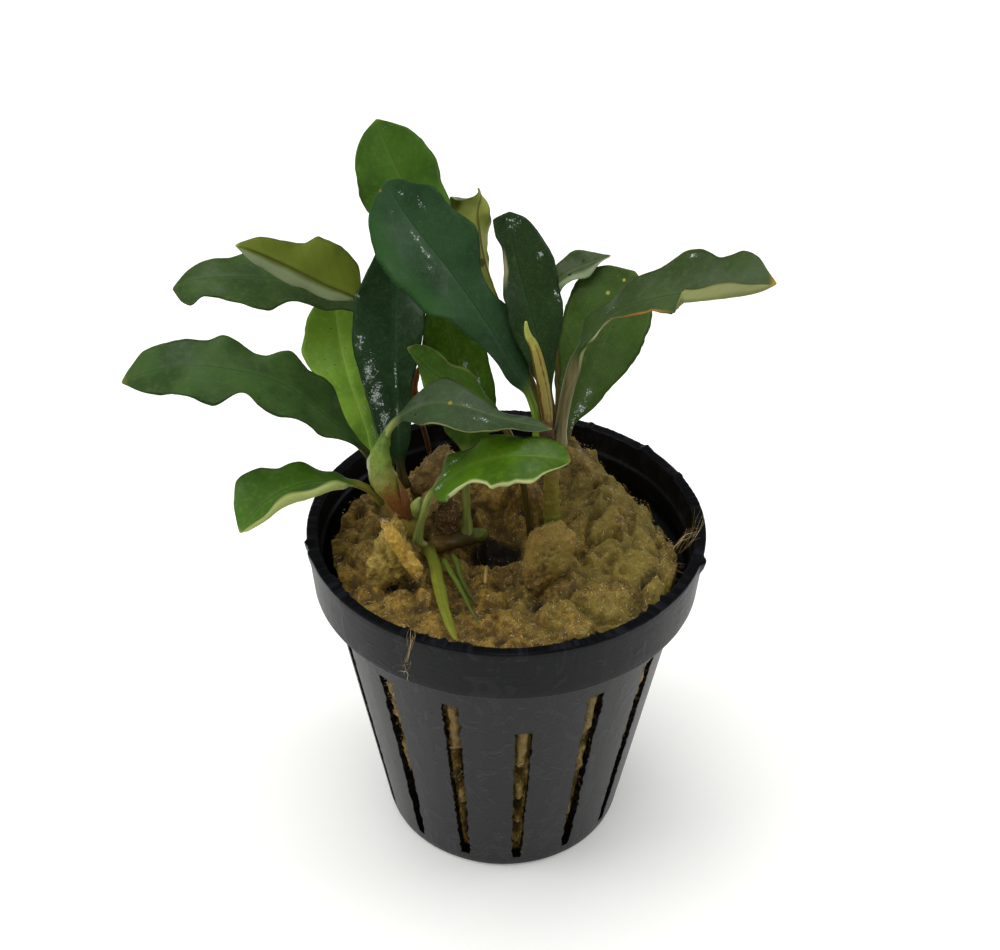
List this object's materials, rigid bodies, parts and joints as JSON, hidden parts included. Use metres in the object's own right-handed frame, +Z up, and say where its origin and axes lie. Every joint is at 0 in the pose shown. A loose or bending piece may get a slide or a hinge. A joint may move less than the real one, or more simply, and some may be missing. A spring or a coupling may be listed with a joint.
{
  "type": "potted bucephalandra",
  "caption": "Small broad-leaved aquarium plant with glossy wavy leaves on short stems, rooted in wet rock wool that fills a black slotted net pot with a collar.",
  "frame": {"origin": "centre of the pot's underside, on the surface it stands on", "axes": "+Z up, +X to the right of the picture's view, -Y towards the viewer"},
  "size_m": [0.0766, 0.052, 0.096],
  "materials": {
    "black_plastic": "moulded black polypropylene, satin, wet in places",
    "wet_rock_wool": "wet brown mineral wool, fibrous",
    "yellow_rock_wool": "torn orange-yellow mineral wool, fibrous",
    "stem": "brown-green fleshy stem, damp",
    "root": "smooth bright green root, damp",
    "dark_leaf": "dark green leathery leaf, glossy and wet",
    "mid_leaf": "mid green leathery leaf, glossy",
    "bright_leaf": "young yellow-green leaf, glossy",
    "olive_leaf": "olive leaf underside, satin",
    "new_leaf": "rolled yellow-tan new leaf, satin",
    "withered_leaf": "shrivelled red-brown leaf, dull"
  },
  "bodies": {
    "root": {"pot": "black_plastic", "rock_wool": "wet_rock_wool", "wool_flake": "yellow_rock_wool", "wool_lump": "wet_rock_wool", "wool_shred": "wet_rock_wool", "left_leaf_long": "dark_leaf", "left_leaf_upper": "dark_leaf", "left_leaf_olive": "olive_leaf", "left_leaf_light": "bright_leaf", "left_leaf_glossy": "dark_leaf", "left_leaf_low": "mid_leaf", "left_leaf_spotted": "dark_leaf", "mid_leaf_bright": "bright_leaf", "mid_leaf_small": "mid_leaf", "mid_leaf_broad": "mid_leaf", "right_leaf_large": "dark_leaf", "right_leaf_back": "mid_leaf", "right_leaf_pale": "olive_leaf", "right_leaf_dark": "dark_leaf", "right_leaf_small": "dark_leaf", "right_leaf_broad": "mid_leaf", "right_leaf_long": "dark_leaf", "withered_leaf": "withered_leaf", "thick_root": "root", "rhizome": "stem", "left_shoot": "stem", "right_stem": "stem", "rolled_leaf": "new_leaf", "thin_root": "root"}
  },
  "joints": []
}
